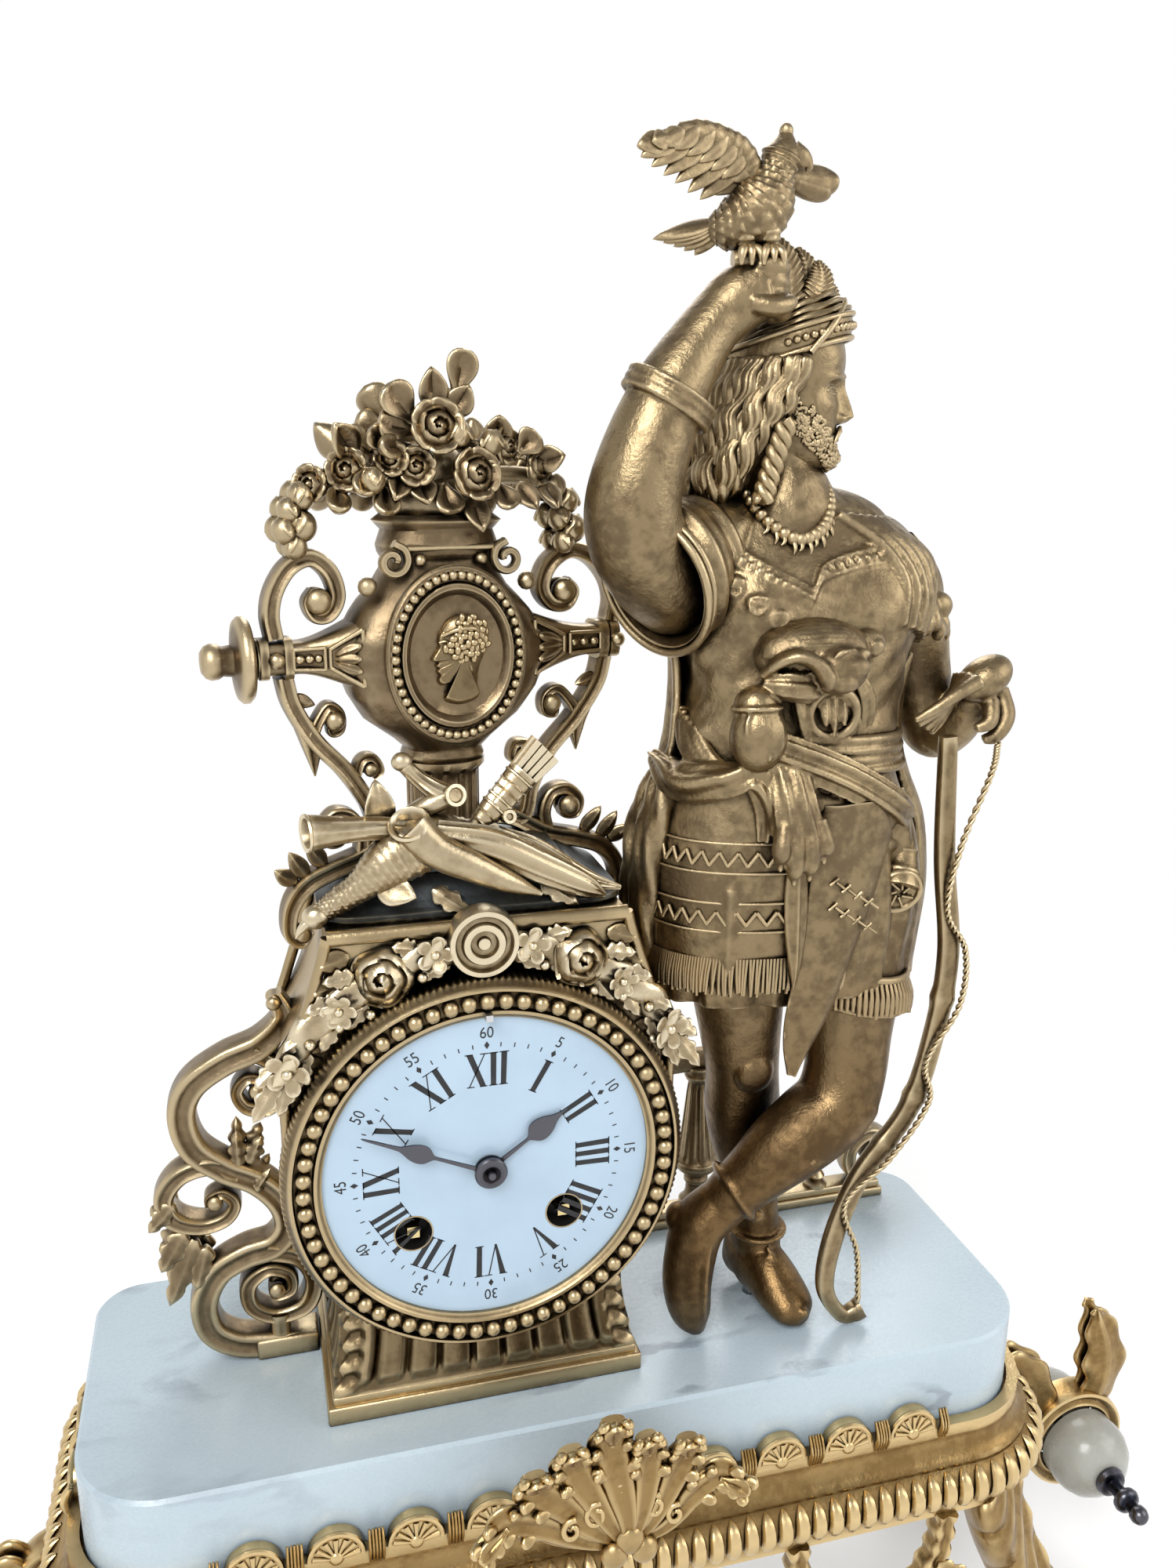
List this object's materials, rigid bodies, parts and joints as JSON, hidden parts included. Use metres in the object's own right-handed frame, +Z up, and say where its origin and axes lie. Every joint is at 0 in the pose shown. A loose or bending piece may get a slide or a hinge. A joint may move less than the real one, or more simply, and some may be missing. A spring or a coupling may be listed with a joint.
{
  "type": "figural mantel clock",
  "caption": "Gilt figural mantel clock: a hunter with bow and falcon beside a drum dial, urn and game trophy, on a marble slab with leafy legs.",
  "frame": {"origin": "middle of the footprint on the floor", "axes": "+Z up, front towards -Y, +X to the viewer's right along the slab"},
  "size_m": [0.45, 0.163, 0.5052],
  "materials": {
    "gilt": "satin gilt over cast metal",
    "pale_gilt": "bright gilt",
    "bronze": "dark bronze patina",
    "patinated": "blue-grey patina",
    "marble": "polished",
    "alabaster": "polished",
    "enamel": "gloss",
    "blued_steel": "blued",
    "movement_brass": "lacquered",
    "steel": "plain",
    "bell_metal": "silvered"
  },
  "bodies": {
    "clock": {"alabaster_buns": "alabaster", "back_plate": "movement_brass", "base_aprons": "gilt", "base_tray": "gilt", "bell": "bell_metal", "bell_post": "steel", "bezel": "gilt", "bow": "gilt", "bow_wire": "gilt", "bun_spindles": "blued_steel", "case_cap": "patinated", "case_drum": "gilt", "case_plinth": "gilt", "case_straps": "movement_brass", "crossed_leg": "gilt", "dial": "enamel", "falcon": "gilt", "figure_body": "gilt", "figure_head": "gilt", "floral_swag": "pale_gilt", "front_cartouche": "pale_gilt", "front_plate": "movement_brass", "game_trophy": "pale_gilt", "handle_left": "gilt", "handle_right": "gilt", "hold_down_bolts": "steel", "leg_front_left": "gilt", "leg_front_right": "gilt", "leg_rear_left": "gilt", "leg_rear_right": "gilt", "lowered_arm": "gilt", "marble_slab": "marble", "plate_pillars": "movement_brass", "raised_arm": "gilt", "rear_balustrade": "bronze", "rear_bezel": "movement_brass", "side_scroll": "bronze", "standing_leg": "gilt", "suspension_cock": "movement_brass", "urn_body": "bronze", "urn_bouquet": "pale_gilt", "urn_medallion": "bronze", "urn_scroll_left": "bronze", "urn_scroll_right": "bronze", "waist_skins": "gilt"},
    "minute_hand": {"minute_hand": "blued_steel", "cannon_pinion": "movement_brass"},
    "hour_hand": {"hour_hand": "blued_steel", "hour_wheel": "movement_brass"},
    "minute_wheel": {"minute_wheel": "movement_brass"},
    "centre_wheel": {"centre_wheel": "movement_brass"},
    "third_wheel": {"third_wheel": "movement_brass"},
    "escape_wheel": {"escape_wheel": "movement_brass"},
    "pallets": {"pallets": "steel"},
    "pendulum": {"pendulum": "movement_brass"},
    "hammer": {"hammer": "blued_steel"},
    "rear_door": {"rear_door": "movement_brass"},
    "going_barrel": {"going_barrel": "movement_brass"},
    "strike_barrel": {"strike_barrel": "movement_brass"},
    "regulator": {"regulator_arbor": "steel"}
  },
  "joints": [
    {"name": "minute_hand_turn", "type": "hinge", "parent": "clock", "child": "minute_hand", "pos_m": [-0.0307, -0.019, 0.2308], "axis": [0, -1, 0], "continuous": true},
    {"name": "hour_hand_turn", "type": "hinge", "parent": "clock", "child": "hour_hand", "pos_m": [-0.0307, -0.019, 0.2308], "axis": [0, -1, 0], "continuous": true},
    {"name": "minute_wheel_turn", "type": "hinge", "parent": "clock", "child": "minute_wheel", "pos_m": [-0.04062, -0.019, 0.2308], "axis": [0, -1, 0], "continuous": true},
    {"name": "centre_wheel_turn", "type": "hinge", "parent": "clock", "child": "centre_wheel", "pos_m": [-0.0307, -0.019, 0.2308], "axis": [0, -1, 0], "continuous": true},
    {"name": "third_wheel_turn", "type": "hinge", "parent": "clock", "child": "third_wheel", "pos_m": [-0.01959, -0.019, 0.24486], "axis": [0, -1, 0], "continuous": true},
    {"name": "escape_wheel_turn", "type": "hinge", "parent": "clock", "child": "escape_wheel", "pos_m": [-0.0307, -0.019, 0.24803], "axis": [0, -1, 0], "continuous": true},
    {"name": "pallets_rock", "type": "hinge", "parent": "clock", "child": "pallets", "pos_m": [-0.0307, -0.019, 0.2618], "axis": [0, -1, 0], "range_deg": [-3, 3]},
    {"name": "pendulum_swing", "type": "hinge", "parent": "clock", "child": "pendulum", "pos_m": [-0.0307, -0.019, 0.2618], "axis": [0, -1, 0], "range_deg": [-3, 3]},
    {"name": "hammer_lift", "type": "hinge", "parent": "clock", "child": "hammer", "pos_m": [-0.0467, -0.019, 0.2528], "axis": [0, -1, 0], "range_deg": [-14, 0], "stiffness_Nm_per_rad": 0.004},
    {"name": "rear_door_hinge", "type": "hinge", "parent": "clock", "child": "rear_door", "pos_m": [-0.0807, 0.0282, 0.2308], "axis": [0, 0, 1], "range_deg": [0, 105]},
    {"name": "going_barrel_wind", "type": "hinge", "parent": "clock", "child": "going_barrel", "pos_m": [-0.0091, -0.019, 0.2133], "axis": [0, -1, 0], "continuous": true},
    {"name": "strike_barrel_wind", "type": "hinge", "parent": "clock", "child": "strike_barrel", "pos_m": [-0.0523, -0.019, 0.2133], "axis": [0, -1, 0], "continuous": true},
    {"name": "regulator_turn", "type": "hinge", "parent": "clock", "child": "regulator", "pos_m": [-0.0307, -0.019, 0.2782], "axis": [0, -1, 0], "continuous": true}
  ],
  "couplings": [
    {"joint": "hour_hand_turn", "follows": "minute_hand_turn", "ratio": 0.083333},
    {"joint": "minute_wheel_turn", "follows": "minute_hand_turn", "ratio": -0.33333},
    {"joint": "third_wheel_turn", "follows": "escape_wheel_turn", "ratio": -0.16667},
    {"joint": "centre_wheel_turn", "follows": "escape_wheel_turn", "ratio": 0.027778},
    {"joint": "pallets_rock", "follows": "pendulum_swing", "ratio": 1}
  ]
}
